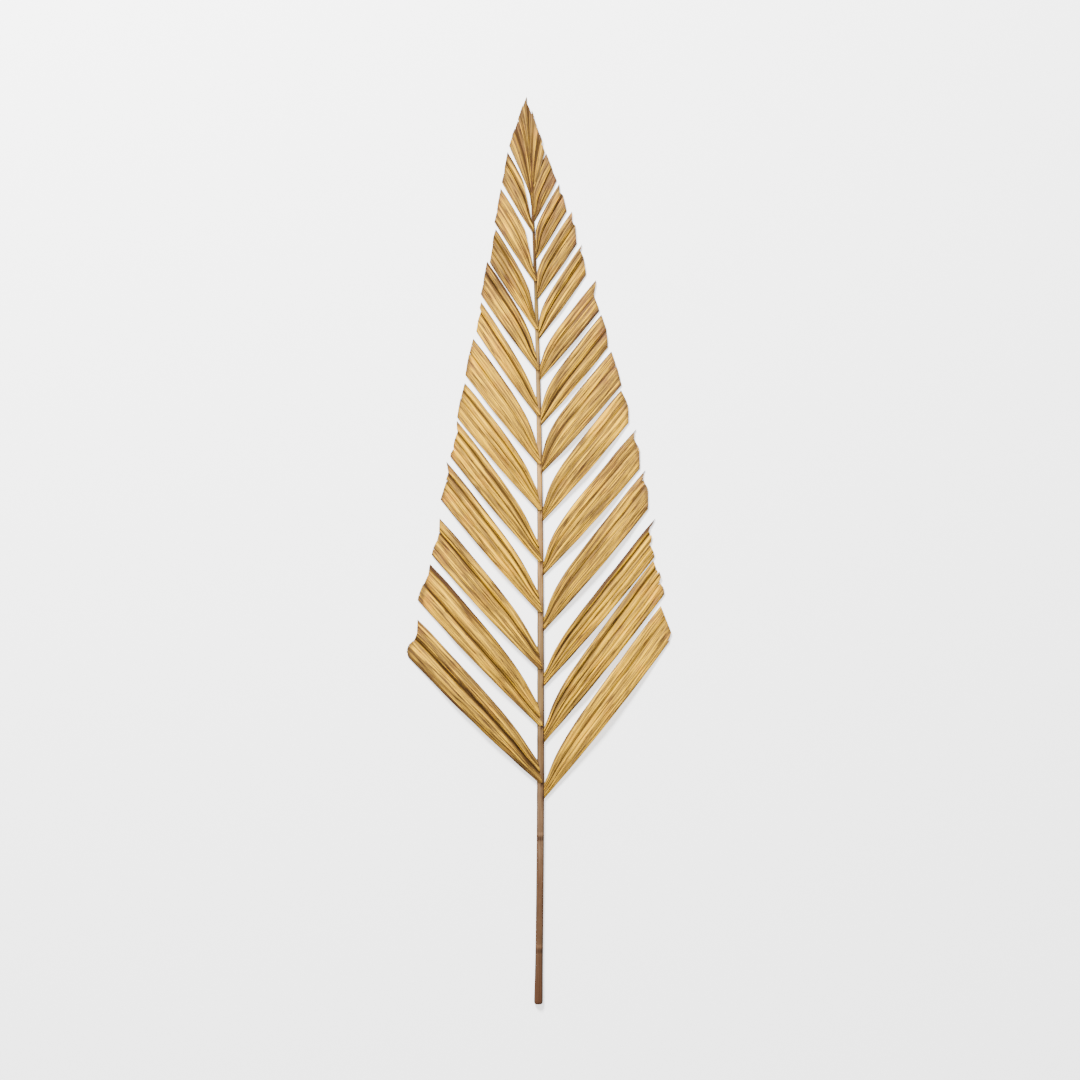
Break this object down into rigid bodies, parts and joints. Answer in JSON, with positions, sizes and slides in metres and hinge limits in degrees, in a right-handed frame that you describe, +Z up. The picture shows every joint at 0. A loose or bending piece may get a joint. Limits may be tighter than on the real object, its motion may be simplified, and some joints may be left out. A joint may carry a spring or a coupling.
{
  "type": "dried coconut palm frond",
  "caption": "Straw-gold dried palm frond trimmed to a kite outline: pleated leaflets in two ranks along a bare-footed stem, ending in a small pleated fan, lying flat.",
  "frame": {"origin": "middle of the frond's footprint, on the surface it lies on", "axes": "+Y along the frond from the cut end of the stem to the tip, +X to the right seen from above, +Z up, away from the surface and out of the frond's upper face"},
  "size_m": [0.2908, 1, 0.0097],
  "materials": {
    "blade": "dry, matt, fibrous straw gold with fine lengthwise veins and brown creases",
    "stem": "dry, matt, fibrous brown, golden on the lit flank of its ridge"
  },
  "bodies": {
    "root": {"leaflet_left_01": "blade", "leaflet_left_02": "blade", "leaflet_left_03": "blade", "leaflet_left_04": "blade", "leaflet_left_05": "blade", "leaflet_left_06": "blade", "leaflet_left_07": "blade", "leaflet_left_08": "blade", "leaflet_left_09": "blade", "leaflet_left_10": "blade", "leaflet_left_11": "blade", "leaflet_left_12": "blade", "leaflet_right_01": "blade", "leaflet_right_02": "blade", "leaflet_right_03": "blade", "leaflet_right_04": "blade", "leaflet_right_05": "blade", "leaflet_right_06": "blade", "leaflet_right_07": "blade", "leaflet_right_08": "blade", "leaflet_right_09": "blade", "leaflet_right_10": "blade", "leaflet_right_11": "blade", "leaflet_right_12": "blade", "leaflet_right_13": "blade", "stem": "stem", "terminal_fan": "blade"}
  },
  "joints": []
}
